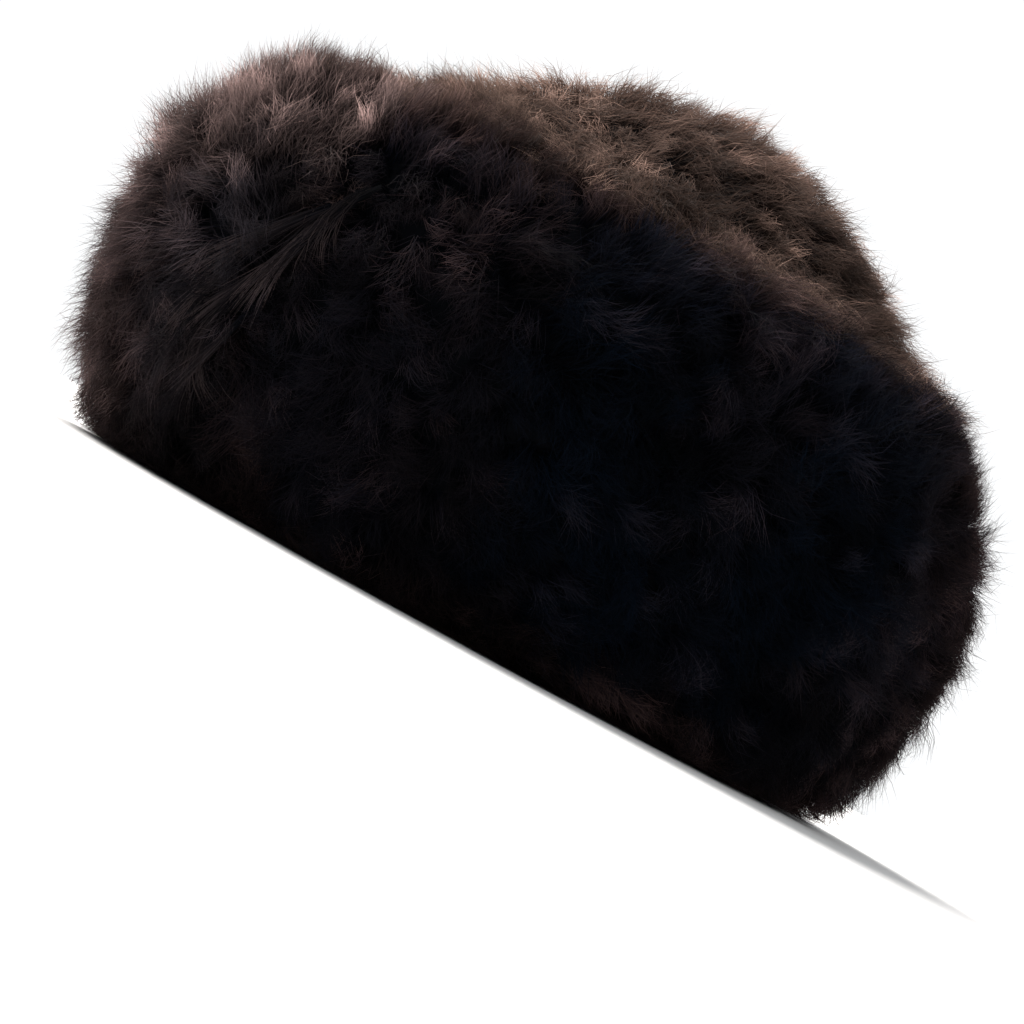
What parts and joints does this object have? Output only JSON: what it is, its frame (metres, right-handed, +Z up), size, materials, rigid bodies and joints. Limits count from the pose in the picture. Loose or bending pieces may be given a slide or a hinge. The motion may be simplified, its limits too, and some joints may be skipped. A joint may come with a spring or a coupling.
{
  "type": "fur hat",
  "caption": "All-fur winter hat with a domed crown, an ear band turned up round the sides and back, and a turned-up front flap.",
  "frame": {"origin": "the middle of the hat's outline, on the plane that its lower edge rests on", "axes": "+Z up out of the crown, -Y to the hat's front, +X to the wearer's left"},
  "size_m": [0.2609, 0.3301, 0.1982],
  "materials": {
    "hide": "suede flesh side of the pelt, matt",
    "crown_fur": "dense dark brown fur with warm tan tips",
    "band_fur": "dense near-black brown fur with reddish tips",
    "flap_fur": "dense dark brown fur with long soft strands"
  },
  "bodies": {
    "root": {"crown": "hide", "crown_fur": "crown_fur", "ear_band": "band_fur", "front_flap": "flap_fur"}
  },
  "joints": []
}
